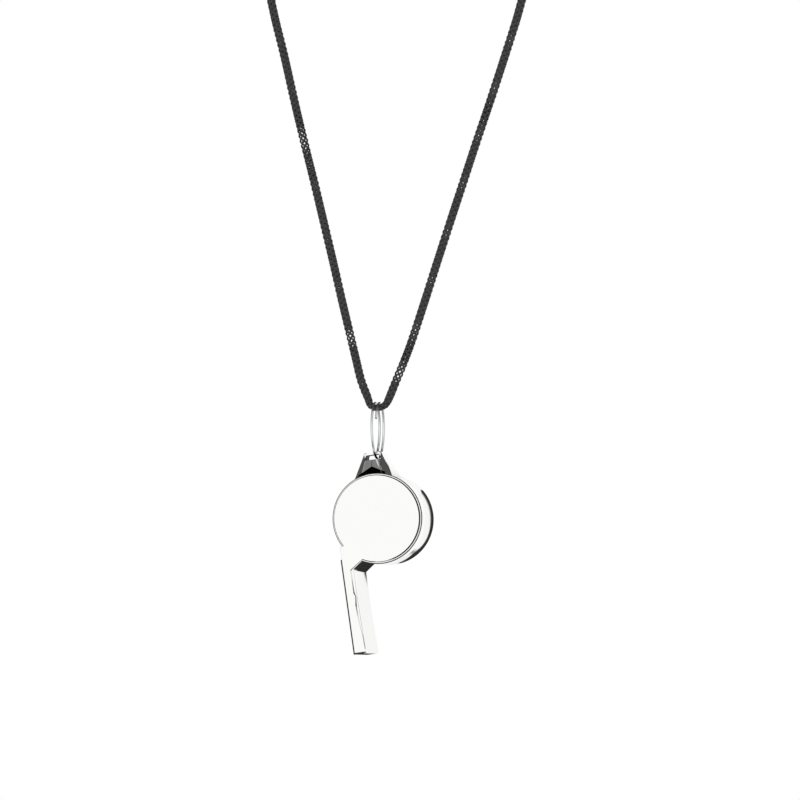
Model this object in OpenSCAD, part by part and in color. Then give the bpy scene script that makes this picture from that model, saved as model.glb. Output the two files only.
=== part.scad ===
// Pressed-metal pea whistle on a split ring and a knitted neck cord, hanging as in use.
// Millimetres, +Z up. The origin is under the top of the cord's loop, where a peg or a hand holds it.
// The near cheek faces -Y and +X is to its right. The whistle's own axes are u (across), y (along the
// barrel) and w (along the mouthpiece, upwards), with their origin in the middle of the barrel.

/* [Barrel] */
// Outer diameter of the round barrel
barrel_d = 22.5; // [18:0.1:26]
// Width of the band between its two edges
band_w = 17.6; // [14:0.1:20]
// Thickness of the band's sheet
band_t = 0.5; // [0.4:0.05:0.6]
// How far the rolled band draws in between its two edges
band_waist = 0.25; // [0.1:0.05:0.3]
// Height of the lip above the end of the mouthpiece roof
window_h = 3.2; // [2.4:0.1:3.6]

/* [Mouthpiece] */
// Distance from the barrel's axis to the blowing tip
tip_reach = 32.5; // [27:0.5:38]
// Distance from the barrel's axis to the outside of the mouthpiece roof
roof_reach = 10.55; // [10.2:0.05:10.8]
// Thickness of the mouthpiece at the blowing tip
tip_h = 3.15; // [2.8:0.05:3.8]
// Thickness of the mouthpiece where it meets the barrel
neck_h = 2.7; // [2.5:0.05:3.2]
// Thickness of the roof plate
roof_t = 0.4; // [0.35:0.05:0.6]
// Thickness of the windway's floor plate
floor_t = 0.3; // [0.25:0.05:0.4]
// Height of the windway where the air leaves it
windway_h = 0.85; // [0.7:0.05:1]

/* [Cheeks] */
// Thickness of a cheek's face
cheek_t = 0.8; // [0.5:0.05:0.9]
// How far a cheek stands out past the band's edge
cheek_proud = 0.6; // [0.5:0.05:0.8]
// Depth of the cheek's flange inside the band
flange_depth = 0.8; // [0.6:0.1:1.2]
// Thickness of the flange
flange_t = 0.5; // [0.4:0.05:0.6]
// Radius of the pressed shoulder round the face
shoulder_r = 0.45; // [0.3:0.05:0.5]

/* [Pea] */
// Diameter of the cork ball
pea_d = 9.5; // [8:0.1:11]

/* [Tail bracket] */
// Height of the bracket's roof above the barrel's axis
bracket_top = 16.7; // [16.3:0.1:18]
// Half the width of the bracket's flat roof
bracket_half = 2.1; // [1.9:0.1:2.6]
// Half the length of the roof along the barrel
bracket_half_run = 2.8; // [2.4:0.1:3.2]
// Thickness of the bracket's sheet
bracket_t = 0.6; // [0.5:0.05:0.7]
// Outside radius of the bends beside the roof
bracket_bend_r = 0.8; // [0.7:0.05:1]
// Lean of the two legs away from the middle
leg_lean = 22; // [18:1:26]
// Radius of the rounded hips between a leg and an end, at the axis's level; less further up
hip_r = 3; // [2:0.1:3.5]
// Height of the tunnel that the ring passes through, at its mouths
tunnel_h = 1.3; // [1.2:0.05:1.6]

/* [Split ring] */
// Outer diameter of the split ring
ring_d = 14.5; // [13.5:0.1:16]
// Diameter of its wire
ring_wire_d = 0.6; // [0.5:0.05:0.65]
// Distance between the ring's turns, middle to middle
ring_pitch = 1.04; // [1.02:0.01:1.2]
// Angle before the top at which the wire begins
ring_start = 66; // [50:1:80]
// Angle past the second top at which the wire ends
ring_end = 139; // [120:1:150]

/* [Neck cord] */
// Diameter of the knitted cord
cord_d = 2.1; // [1.8:0.1:2.2]
// Diameter of the cord where the ring's wire squeezes it
cord_pinch_d = 1.6; // [1.4:0.1:1.8]
// Diameter of the knot
knot_d = 5.6; // [5:0.1:7]

/* [Hanging] */
// Lean of the hanging whistle, mouthpiece to the right as it goes down
hang_lean = 8.05; // [6:0.05:11]
// Place of the ring's wire in the tunnel, right of the middle
hook_u = 0.7; // [0:0.05:1.2]

/* [Hidden] */
steel = "gainsboro";
$fn = 72;

// One overrun for every cut.
over = 1;
// Clearance that solder fills between two sheets.
solder_gap = 0.02;
// Running clearance under the bracket's roof and on the cord.
roof_clear = 0.08;
cord_clear = 0.25;
// Clearance between the pea and the band it rolls on.
pea_clear = 0.3;
pea_sides = 36;

// Barrel and mouthpiece, in the whistle's own u and w.
barrel_r = barrel_d / 2;
chamber_r = barrel_r - band_t;
half_w = band_w / 2;
face_y = half_w + cheek_proud;
flange_y = half_w - flange_depth;
fillet_angle = 243;
waist_flat_share = 0.23;
waist_flat = half_w * waist_flat_share;
waist_steps = 5;
roof_u = -roof_reach;
roof_in_u = roof_u + roof_t;
lip_drop_share = 0.5;
lip_w = -barrel_r * lip_drop_share;
roof_end_w = lip_w - window_h;
tip_w = -tip_reach;
neck_w_share = 1.062;
hollow_shoulder_share = 1 / 3;

// The band leaves the barrel at A, folds at B and ends at C, the blowing tip.
fold_a = barrel_r * [cos(fillet_angle), sin(fillet_angle)];
fold_b = [roof_u + neck_h, -barrel_r * neck_w_share];
fold_c = [roof_u + tip_h, tip_w];

// The floor plate runs from inside the tip to the windway's mouth and folds back on to the band.
floor_set_back = 1;
floor_nose = [roof_in_u + windway_h, roof_end_w];
foot_run_shares = [0.2, 0.72];

function unit(v) = v / norm(v);
// Left-hand normal of a stretch from p to q.
function side(p, q) = let(d = unit(q - p)) [-d.y, d.x];
// The inside normals of the fillet and of the underside, and their mitre.
inner_ab = -side(fold_a, fold_b);
inner_bc = -side(fold_b, fold_c);
mitre_b = (inner_ab + inner_bc) / (1 + inner_ab * inner_bc);
function on_fillet(share, depth) = fold_a + (fold_b - fold_a) * share + inner_ab * depth;
// A sheet's outline: its upper line, and the same line set over by the sheet's thickness, mitred.
function set_over(p, t) = [for (i = [0 : len(p) - 1])
    let(a = -side(p[max(i - 1, 0)], p[max(i, 1)]))
    let(b = -side(p[min(i, len(p) - 2)], p[min(i + 1, len(p) - 1)]))
    p[i] + t * (a + b) / (1 + a * b)];
function back(p) = [for (i = [len(p) - 1 : -1 : 0]) p[i]];
function sheet(p, t) = concat(p, back(set_over(p, t)));
function arc(c, r, from, to, n) = [for (i = [0 : n])
    c + r * [cos(from + (to - from) * i / n), sin(from + (to - from) * i / n)]];

// Bracket: a hipped roof whose legs lean by leg_lean and whose ends reach the band's edges.
leg_slope = tan(leg_lean);
foot_w_share = 0.915;
end_slope = (half_w - bracket_half_run) / (bracket_top - barrel_r * foot_w_share);
end_lean = atan(end_slope);
tunnel_roof_w = bracket_top - bracket_t;
flap_top_w = tunnel_roof_w - tunnel_h;
gap_apex_share = 0.52;
gap_apex_w = barrel_r + (flap_top_w - barrel_r) * gap_apex_share;
gap_half_share = 0.6;
seam_share = 0.2;
hip_clear = 0.02;
hip_steps = 6;

// Ring: its middle is under the cord, and its bottom wire carries the bracket's roof.
ring_r = (ring_d - ring_wire_d) / 2;
wire_r = ring_wire_d / 2;
ring_step = 10;
ring_sides = 8;
chord_dip = ring_r - sqrt(pow(ring_r, 2) - pow(bracket_half_run, 2));
chord_lean = asin(bracket_half_run / ring_r);
hook_w = tunnel_roof_w - roof_clear - chord_dip - wire_r / cos(chord_lean);

// Route of the cord, hand-laid round its closed loop from the knot's left end to its right end.
route = [
    [5, 0, 1.1], [0, 0, 1.1], [-8, 0, 0.3], [-16, 0, -2.2], [-23, 0, -6.6], [-28.9, 0, -13.4],
    [-32.3, 0, -22], [-32.9, 0, -30], [-31.4, 0, -38.5], [-28.8, 0, -49], [-26.1, 0, -60.8],
    [-23.7, 0, -70.7], [-21.2, 0, -80.6], [-18.8, 0, -90.5], [-16.4, 0, -100.5],
    [-14.1, 0, -110.4], [-11.7, 0, -120.3], [-10.5, 0, -125.3], [-9.3, 0, -130.1],
    [-7.6, 0, -134.5], [-6.9, 0, -136.3], [-5.1, 0, -137], [-3.3, 0, -136.3], [-2.3, 0, -134.7],
    [-0.4, 0, -130.1], [1.6, 0, -125.3], [3.5, 0, -120.3], [6.8, 0, -110.4], [10, 0, -100.5],
    [13.3, 0, -90.5], [16.6, 0, -80.6], [19.9, 0, -70.7], [23.3, 0, -60.8], [27.2, 0, -49],
    [30.5, 0, -38.5], [32.4, 0, -30], [32.6, 0, -21], [30, 0, -11], [24.4, 0, -3], [18, 0, 1.1],
    [13, 0, 1.1]
];
low = 21;
cord_sides = 8;
steps_per_span = 2;
pinch_run = 5;

ring_x = route[low].x;
ring_z = route[low].z + cord_pinch_d / 2 + cord_clear + wire_r - ring_r;
hook = [ring_x, 0, ring_z - ring_r];
u_dir = [cos(hang_lean), 0, sin(hang_lean)];
w_dir = [-sin(hang_lean), 0, cos(hang_lean)];
barrel_at = hook - hook_u * u_dir - hook_w * w_dir;
pea_orbit = chamber_r - band_waist - pea_clear - pea_d / 2;

// The whistle's own frame, leaning as it hangs.
module hung() {
    translate(barrel_at) rotate([0, -hang_lean, 0]) children();
}

// An outline in u and w, drawn out along the barrel's axis over a length d.
module along_barrel(d) {
    rotate([90, 0, 0]) linear_extrude(d, center = true) children();
}

// An outline in y and w, drawn out across the whistle over a length d.
module across(d) {
    rotate([90, 0, 90]) linear_extrude(d, center = true) children();
}

// A slab whose one long edge passes p and whose inside lies towards n, with a rounded shoulder r
// between that edge and its face. It stands on the plane y = -base and its face is at y = -face.
module shouldered_slab(p, n, r, base, face) {
    far = 4 * barrel_r;
    h = face - base;
    translate([p.x, -base, p.y]) rotate([0, -atan2(n.y, n.x), 0]) rotate([180, 0, 0])
        linear_extrude(2 * far, center = true)
            polygon(concat([[far, 0], [0, 0]], arc([r, h - r], r, 180, 90, 5), [[far, h]]));
}

// The outline of a cheek as a solid: the round of the barrel, the bar of the mouthpiece and the
// wedge over the fillet, all set in by e from the sheets that they fit between.
module cheek_form(e, r, base, face, end_w) {
    disc_r = chamber_r - e;
    h = face - base;
    left = [roof_in_u + e, lip_w];
    right = fold_b + mitre_b * (band_t + e);
    step = [roof_in_u, lip_w - e];
    translate([0, -base, 0]) rotate([90, 0, 0]) rotate_extrude()
        polygon(concat([[0, 0], [disc_r, 0]], arc([disc_r - r, h - r], r, 0, 90, 5), [[0, h]]));
    intersection() {
        shouldered_slab(left, [1, 0], r, base, face);
        shouldered_slab(right, inner_bc, r, base, face);
        shouldered_slab(step, [0, -1], r, base, face);
        translate([-2 * barrel_r, -face - over, end_w]) cube([2 * barrel_r, h + 2 * over, tip_reach]);
    }
    intersection() {
        shouldered_slab(left, [1, 0], r, base, face);
        shouldered_slab(right, inner_ab, r, base, face);
        shouldered_slab(step, [0, -1], r, base, face);
    }
}

// A cheek: a shallow pressed pan with a flat face, a round shoulder and a flange inside the band.
// The pan is open at the blowing tip.
module cheek() {
    hollow_r = shoulder_r * hollow_shoulder_share;
    difference() {
        cheek_form(solder_gap, shoulder_r, flange_y, face_y, tip_w);
        cheek_form(solder_gap + flange_t, hollow_r, flange_y - over, face_y - cheek_t, tip_w - over);
    }
}

module near_cheek() {
    color(steel) hung() cheek();
}

module far_cheek() {
    color(steel) hung() mirror([0, 1, 0]) cheek();
}

// The round of the barrel as a solid, grown by e, out to a half-length along its axis. Between the
// cheeks' flanges it is drawn in to its waist.
module barrel_round(e, half) {
    run = flange_y - waist_flat;
    rise = [for (i = [0 : waist_steps]) let(s = i / waist_steps)
        [barrel_r + e - band_waist * (1 - s * s * (3 - 2 * s)), waist_flat + run * s]];
    side = concat(rise, [[barrel_r + e, half]]);
    rotate([90, 0, 0]) rotate_extrude()
        polygon(concat([[0, -half]], [for (p = back(side)) [p.x, -p.y]], side, [[0, half]]));
}

// The band goes round the chamber from the lip to the fillet, and folds down as the underside of
// the mouthpiece. The level cut at the window leaves the lip with a keen inner edge.
module barrel_band() {
    far = 3 * barrel_r;
    cut_w = band_w + 2 * over;
    inner_c = fold_c + inner_bc * band_t + unit(fold_c - fold_b) * over;
    color(steel) hung() difference() {
        union() {
            barrel_round(0, half_w);
            along_barrel(band_w)
                polygon([on_fillet(-1, 0), fold_b, fold_c, [roof_in_u, tip_w], [roof_in_u, roof_end_w]]);
        }
        barrel_round(-band_t, half_w + over);
        along_barrel(cut_w) polygon([
            on_fillet(-1, band_t), fold_b + mitre_b * band_t, inner_c,
            [-far, inner_c.y], [-far, lip_w], [lip_w, lip_w]
        ]);
    }
}

// The flat plate over the windway, soldered on to the cheeks' flanges.
module mouthpiece_roof() {
    color(steel) hung() translate([roof_u, -half_w, tip_w])
        cube([roof_t, band_w, roof_end_w - tip_w]);
}

// The plate under the air stream. It rises from the underside at the tip to the windway's mouth,
// turns down, and its foot lies on the inside of the fillet.
module windway_floor() {
    lie = band_t + solder_gap + floor_t;
    tip_share = floor_set_back / (fold_b.y - tip_w);
    start = fold_c + (fold_b - fold_c) * tip_share + inner_bc * lie;
    line = [start, floor_nose, on_fillet(foot_run_shares[1], lie), on_fillet(foot_run_shares[0], lie)];
    color(steel) hung() along_barrel(2 * (flange_y - solder_gap)) polygon(sheet(line, floor_t));
}

// The hood's outline seen along one way: a flat roof over two sides that lean out, set in by t.
module tent(half_top, lean, t, r) {
    slope = tan(lean);
    top = bracket_top - t;
    foot = half_top + bracket_top * slope - t / cos(lean);
    corner = half_top + t * slope - t / cos(lean);
    c = [corner - r * tan((90 - lean) / 2), top - r];
    right = arc(c, r, lean, 90, 5);
    polygon(concat([[foot, 0]], right, [for (p = back(right)) [-p.x, p.y]], [[-foot, 0]]));
}

// Half the hood's width at a height w over the barrel's axis, set in by t.
function hood_half(half_top, lean, t, w) = half_top + (bracket_top - w) * tan(lean) - t / cos(lean);

// A hipped roof with rounded hips, running up past the hood's own top.
module hipped(t) {
    rise = bracket_top + bracket_bend_r;
    r = hip_r - t;
    foot = [hood_half(bracket_half, leg_lean, t, 0), hood_half(bracket_half_run, end_lean, t, 0)];
    head = [hood_half(bracket_half, leg_lean, t, rise), hood_half(bracket_half_run, end_lean, t, rise)];
    ring = [for (k = [0 : 3], i = [0 : hip_steps])
        let(a = 90 * (k + i / hip_steps), c = [k == 0 || k == 3 ? 1 : -1, k < 2 ? 1 : -1])
        [c.x * (foot.x - r) + r * cos(a), c.y * (foot.y - r) + r * sin(a)]];
    polyhedron(concat(
        [for (p = ring) [p.x, p.y, 0]],
        [for (p = ring) [p.x * head.x / foot.x, p.y * head.y / foot.y, rise]]), tube_faces(2, len(ring)));
}

// The hood as a solid: the hipped roof, cut down to the outline seen from the near cheek and the
// one seen from the mouthpiece, which round its bends and level its top.
module hood(t, bend_r, end_r) {
    intersection() {
        hipped(t);
        along_barrel(2 * band_w) tent(bracket_half + hip_clear, leg_lean, t, bend_r);
        across(2 * band_w) tent(bracket_half_run + hip_clear, end_lean, t, end_r);
    }
}

// The tail bracket: a folded hood soldered over the barrel, with two legs, two slanted ends made of
// flaps that meet in a seam, a tunnel for the ring under its roof, and a gap under the flaps.
module tail_bracket() {
    inner_bend = bracket_bend_r - bracket_t;
    gap_half = bracket_half + (bracket_top - barrel_r) * leg_slope * gap_half_share;
    color(steel) hung() difference() {
        hood(0, bracket_bend_r, inner_bend);
        hood(bracket_t, inner_bend, inner_bend);
        barrel_round(solder_gap, band_w);
        // The tunnel: all that lies between the legs and over the flaps.
        intersection() {
            along_barrel(2 * band_w) tent(bracket_half, leg_lean, bracket_t, inner_bend);
            translate([-bracket_top, -band_w, flap_top_w]) cube([2 * bracket_top, 2 * band_w, bracket_top]);
        }
        // The roof's ends, square over the tunnel's mouths.
        for (m = [0, 1]) mirror([0, m, 0])
            translate([-bracket_half, bracket_half_run, flap_top_w])
                cube([2 * bracket_half, band_w, bracket_top]);
        // The gap under the flaps, shaped like a low roof.
        along_barrel(2 * band_w) polygon([
            [0, gap_apex_w], [gap_half, barrel_r], [gap_half, 0], [-gap_half, 0], [-gap_half, barrel_r]
        ]);
        // The seam where the two flaps meet.
        translate([-bracket_t * seam_share / 2, -band_w, barrel_r])
            cube([bracket_t * seam_share, 2 * band_w, bracket_top - barrel_r - bracket_t]);
    }
}

// The cork ball, lying at the bottom of the chamber.
module cork_pea() {
    color("peru") translate(barrel_at - [0, 0, pea_orbit]) sphere(d = pea_d, $fn = pea_sides);
}

// Points of a tube: a ring of n points round each centre, square to the way the line runs there.
// Both lines here keep clear of the chosen cross direction, so the rings don't twist.
function tube_points(line, ways, radii, n, cross_dir) = [for (i = [0 : len(line) - 1])
    let(d = unit(ways[i]), a = unit(cross_dir - (cross_dir * d) * d), b = cross(d, a))
    for (k = [0 : n - 1]) line[i] + radii[i] * (cos(360 * k / n) * a + sin(360 * k / n) * b)];
function tube_faces(rings, n) = concat(
    [[for (k = [0 : n - 1]) k]],
    [for (i = [0 : rings - 2], k = [0 : n - 1]) let(m = (k + 1) % n)
        each [[i * n + k, (i + 1) * n + k, (i + 1) * n + m], [i * n + k, (i + 1) * n + m, i * n + m]]],
    [[for (k = [n - 1 : -1 : 0]) (rings - 1) * n + k]]);

// The ring's wire: an open helix about X that passes the bottom once, through the tunnel.
ring_count = round((360 + ring_start + ring_end) / ring_step);
function ring_angle(i) = -ring_start + (360 + ring_start + ring_end) * i / ring_count;
function ring_point(a) = [
    ring_x - ring_pitch * (a - 180) / 360, ring_r * sin(a), ring_z + ring_r * cos(a)
];
function ring_way(a) = [-ring_pitch / 360, ring_r * cos(a) * PI / 180, -ring_r * sin(a) * PI / 180];
ring_line = [for (i = [0 : ring_count]) ring_point(ring_angle(i))];
ring_ways = [for (i = [0 : ring_count]) ring_way(ring_angle(i))];
lap = ring_start + ring_end;
ring_gap = min([for (a = [0 : ring_step : lap], b = [-ring_step : 1 : ring_step])
    norm(ring_point(a - ring_start) - ring_point(a - ring_start + 360 + b))]) - ring_wire_d;
echo(ring_least_gap_to_itself = ring_gap);

module split_ring() {
    radii = [for (p = ring_line) wire_r];
    color("silver") polyhedron(
        tube_points(ring_line, ring_ways, radii, ring_sides, [1, 0, 0]),
        tube_faces(ring_count + 1, ring_sides));
}

// A smooth line through the route's points, and the way it runs.
last = len(route) - 1;
function at(i) = route[min(max(i, 0), last)];
function bend(i, s) = let(a = at(i - 1), b = at(i), c = at(i + 1), d = at(i + 2))
    ((2 * b) + (c - a) * s + (2 * a - 5 * b + 4 * c - d) * s * s
        + (3 * b - a - 3 * c + d) * s * s * s) / 2;
function bend_way(i, s) = let(a = at(i - 1), b = at(i), c = at(i + 1), d = at(i + 2))
    ((c - a) + 2 * (2 * a - 5 * b + 4 * c - d) * s + 3 * (3 * b - a - 3 * c + d) * s * s) / 2;
cord_at = [for (i = [0 : last - 1], k = [0 : steps_per_span - 1]) [i, k / steps_per_span]];
cord_line = concat([for (p = cord_at) bend(p[0], p[1])], [route[last]]);
cord_ways = concat([for (p = cord_at) bend_way(p[0], p[1])], [bend_way(last - 1, 1)]);
// The cord narrows where the wire presses into it.
function cord_radius(p) = let(s = min(norm(p - route[low]) / pinch_run, 1))
    (cord_pinch_d + (cord_d - cord_pinch_d) * s * s * (3 - 2 * s)) / 2;
cord_length = norm([for (i = [1 : len(cord_line) - 1]) sqrt(norm(cord_line[i] - cord_line[i - 1]))])
    * norm([for (i = [1 : len(cord_line) - 1]) sqrt(norm(cord_line[i] - cord_line[i - 1]))]);
echo(cord_length = cord_length);

module lanyard_cord() {
    radii = [for (p = cord_line) cord_radius(p)];
    color("dimgray") polyhedron(
        tube_points(cord_line, cord_ways, radii, cord_sides, [0, 1, 0]),
        tube_faces(len(cord_line), cord_sides));
}

// The knot that closes the loop: a barrel of turns whose flat ends meet the cord's two ends.
module lanyard_knot() {
    from = route[0];
    to = route[last];
    span = norm(to - from);
    way = to - from;
    swell = (knot_d - cord_d) / 2;
    outline = [for (i = [0 : 12]) let(s = i / 12)
        [cord_d / 2 + swell * pow(sin(180 * s), 0.6), span * s]];
    color("dimgray") translate(from) rotate([0, atan2(way.x, way.z), 0])
        rotate_extrude() polygon(concat([[0, 0]], outline, [[0, span]]));
}

near_cheek();
far_cheek();
barrel_band();
mouthpiece_roof();
windway_floor();
tail_bracket();
cork_pea();
split_ring();
lanyard_cord();
lanyard_knot();
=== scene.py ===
"""A chrome-plated pea whistle on its split ring, hanging from a braided neck cord."""

import math

import bmesh
import bpy
import numpy as np
from mathutils import Matrix, Vector


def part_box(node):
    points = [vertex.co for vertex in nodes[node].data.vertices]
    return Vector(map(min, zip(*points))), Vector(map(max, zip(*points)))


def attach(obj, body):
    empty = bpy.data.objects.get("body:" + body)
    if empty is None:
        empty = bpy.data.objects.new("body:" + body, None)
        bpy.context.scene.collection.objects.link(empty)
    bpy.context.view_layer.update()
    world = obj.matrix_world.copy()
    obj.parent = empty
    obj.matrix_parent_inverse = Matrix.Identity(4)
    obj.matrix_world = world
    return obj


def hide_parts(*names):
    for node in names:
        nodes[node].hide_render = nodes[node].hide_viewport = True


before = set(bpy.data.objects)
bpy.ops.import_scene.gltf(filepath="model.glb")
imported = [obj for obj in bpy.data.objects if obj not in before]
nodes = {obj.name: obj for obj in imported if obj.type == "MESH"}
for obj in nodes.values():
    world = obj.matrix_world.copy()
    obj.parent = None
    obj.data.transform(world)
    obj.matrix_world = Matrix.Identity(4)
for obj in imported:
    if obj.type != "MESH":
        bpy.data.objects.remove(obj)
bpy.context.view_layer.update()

MM = 0.001
SCENE = bpy.context.scene

# ---------------------------------------------------------------- sizes, mm, as in the CAD
BARREL_R = 11.25
CHAMBER_R = 10.75
BAND_HALF = 8.8
BAND_T = 0.5
FACE_Y = 9.4
FLANGE_Y = 8.0
SOLDER_GAP = 0.02
LIP_W = -5.625
ROOF_END_W = -8.825
TIP_W = -32.5
ROOF_U = -10.55
ROOF_T = 0.4
FOLD_A = Vector((-5.1074, -10.0238))
FOLD_B = Vector((-7.85, -11.9475))
FOLD_C = Vector((-7.4, -32.5))
LEAN = math.radians(8.05)
BARREL_AT = Vector((-3.6781, 0, -164.6024))
RING_AT = Vector((-5.1, 0, -142.6))
RING_R = 6.95
WIRE_R = 0.3
RING_PITCH = 1.04
RING_FROM, RING_TO = -66, 499
CORD_D = 2.1
PINCH_D = 1.6
PINCH_RUN = 5

# The whistle's own axes: u across, y along the barrel, w up along the mouthpiece.
HUNG = Matrix.Scale(MM, 4) @ Matrix.Translation(BARREL_AT) @ Matrix.Rotation(-LEAN, 4, "Y")

# The cord's route round its closed loop, from the knot's left end to its right end.
ROUTE = [
    (5, 0, 1.1), (0, 0, 1.1), (-8, 0, 0.3), (-16, 0, -2.2), (-23, 0, -6.6), (-28.9, 0, -13.4),
    (-32.3, 0, -22), (-32.9, 0, -30), (-31.4, 0, -38.5), (-28.8, 0, -49), (-26.1, 0, -60.8),
    (-23.7, 0, -70.7), (-21.2, 0, -80.6), (-18.8, 0, -90.5), (-16.4, 0, -100.5),
    (-14.1, 0, -110.4), (-11.7, 0, -120.3), (-10.5, 0, -125.3), (-9.3, 0, -130.1),
    (-7.6, 0, -134.5), (-6.9, 0, -136.3), (-5.1, 0, -137), (-3.3, 0, -136.3), (-2.3, 0, -134.7),
    (-0.4, 0, -130.1), (1.6, 0, -125.3), (3.5, 0, -120.3), (6.8, 0, -110.4), (10, 0, -100.5),
    (13.3, 0, -90.5), (16.6, 0, -80.6), (19.9, 0, -70.7), (23.3, 0, -60.8), (27.2, 0, -49),
    (30.5, 0, -38.5), (32.4, 0, -30), (32.6, 0, -21), (30, 0, -11), (24.4, 0, -3),
    (18, 0, 1.1), (13, 0, 1.1),
]
LOW = np.array(ROUTE[21], float)    # where the cord folds over the ring

# ---------------------------------------------------------------- camera
TARGET = Vector((0.0005, 0, -0.13505))
PIXELS_A_MM, FRAME_PIXELS, SENSOR = 4.031, 800, 36
VIEW_AZ, VIEW_EL, VIEW_FAR = math.radians(10), math.radians(-2), 2.0
back = Vector((
    math.sin(VIEW_AZ) * math.cos(VIEW_EL), -math.cos(VIEW_AZ) * math.cos(VIEW_EL), math.sin(VIEW_EL)
))
camera_data = bpy.data.cameras.new("camera")
camera_data.sensor_width = SENSOR
camera_data.lens = SENSOR * VIEW_FAR / (FRAME_PIXELS / PIXELS_A_MM * MM)
camera = bpy.data.objects.new("camera", camera_data)
camera.location = TARGET + back * VIEW_FAR
camera.rotation_euler = back.to_track_quat("Z", "Y").to_euler()
SCENE.collection.objects.link(camera)
SCENE.camera = camera
SCENE.view_settings.view_transform = "Standard"


# ---------------------------------------------------------------- materials
def rgb(code):
    """An sRGB hex colour as a linear one."""
    parts = [int(code[i:i + 2], 16) / 255 for i in (1, 3, 5)]
    return tuple(p / 12.92 if p <= 0.04045 else ((p + 0.055) / 1.055) ** 2.4 for p in parts) + (1,)


def add(tree, kind, links=None, **settings):
    """A new node. links gives each input a value or another node's output; settings are its own."""
    node = tree.nodes.new("ShaderNode" + kind)
    for key, value in settings.items():
        setattr(node, key, value)
    for key, value in (links or {}).items():
        if isinstance(value, bpy.types.NodeSocket):
            tree.links.new(value, node.inputs[key])
        else:
            node.inputs[key].default_value = value
    return node


def new_material(name):
    material = bpy.data.materials.new(name)
    material.use_nodes = True
    material.node_tree.nodes.clear()
    return material, material.node_tree


def surface(tree, shader):
    add(tree, "OutputMaterial", {"Surface": shader})


def bright_plate(name, colour, rough, scratch=1.0):
    """Bright chrome plate over buffed brass: a mirror with faint hairlines and finger haze."""
    material, tree = new_material(name)
    spot = add(tree, "TexCoord").outputs["Object"]
    # Haze left by fingers, in patches of about 6 mm.
    haze = add(tree, "TexNoise", {"Vector": spot, "Scale": 1 / (6 * MM), "Detail": 3.0})
    gloss = add(tree, "MapRange", {
        "Value": haze.outputs["Fac"], "From Min": 0.35, "From Max": 0.75,
        "To Min": rough, "To Max": rough * 1.8,
    })
    # Hairlines of wear, drawn out along the barrel. Real ones are too fine to show, so these
    # are as coarse as 0.12 mm.
    stretched = add(tree, "Mapping", {
        "Vector": spot, "Scale": (1, 0.05, 0.25), "Rotation": (0.3, 0.2, 0.5)})
    lines = add(tree, "TexNoise", {
        "Vector": stretched.outputs[0], "Scale": 1 / (0.12 * MM), "Detail": 2.0})
    bump = add(tree, "Bump", {
        "Height": lines.outputs["Fac"], "Strength": 0.03 * scratch, "Distance": 0.02 * MM,
    })
    shader = add(tree, "BsdfPrincipled", {
        "Base Color": rgb(colour), "Metallic": 1.0, "Roughness": gloss.outputs[0],
        "Normal": bump.outputs[0],
    })
    surface(tree, shader.outputs[0])
    return material


# Chrome over nickel: a slightly grey mirror.
chrome = bright_plate("chrome_plate", "#DFDFDD", 0.035)
# The ring's hard-drawn wire under the same plate: a little duller.
plated_wire = bright_plate("plated_spring_wire", "#D2D4D6", 0.07, 2.0)


def painted_shade():
    """Painted shade: a dull, blotchy dark grey metal put on the joints' edges and inside the hood
    to stand in for the shade there.
    """
    material, tree = new_material("painted_shade")
    spot = add(tree, "TexCoord").outputs["Object"]
    # The painted shade varies in blotches of about 0.8 mm.
    mottle = add(tree, "TexNoise", {"Vector": spot, "Scale": 1 / (0.8 * MM), "Detail": 3.0})
    tone = add(tree, "Mix", {
        0: mottle.outputs["Fac"], "A": rgb("#2A2A2B"), "B": rgb("#464546")}, data_type="RGBA")
    shader = add(tree, "BsdfPrincipled", {
        "Base Color": tone.outputs[2], "Metallic": 1.0, "Roughness": 0.45})
    surface(tree, shader.outputs[0])
    return material


painted_shade_material = painted_shade()


def cork_material():
    """Natural cork: tan grains with dark lenticels, matt."""
    material, tree = new_material("natural_cork")
    spot = add(tree, "TexCoord").outputs["Object"]
    # Grains of 0.9 mm and pores of 0.5 mm.
    grain = add(tree, "TexVoronoi", {"Vector": spot, "Scale": 1 / (0.9 * MM)})
    pores = add(tree, "TexNoise", {"Vector": spot, "Scale": 1 / (0.5 * MM), "Detail": 6.0})
    tone = add(tree, "MapRange", {"Value": pores.outputs["Fac"], "From Min": 0.35, "From Max": 0.6})
    colour = add(tree, "Mix", {
        0: tone.outputs[0], "A": rgb("#7A5230"), "B": rgb("#C79A66")}, data_type="RGBA")
    bump = add(tree, "Bump", {
        "Height": grain.outputs["Distance"], "Strength": 0.5, "Distance": 0.1 * MM})
    shader = add(tree, "BsdfPrincipled", {
        "Base Color": colour.outputs[2], "Roughness": 0.85, "Normal": bump.outputs[0]})
    surface(tree, shader.outputs[0])
    return material


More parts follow.
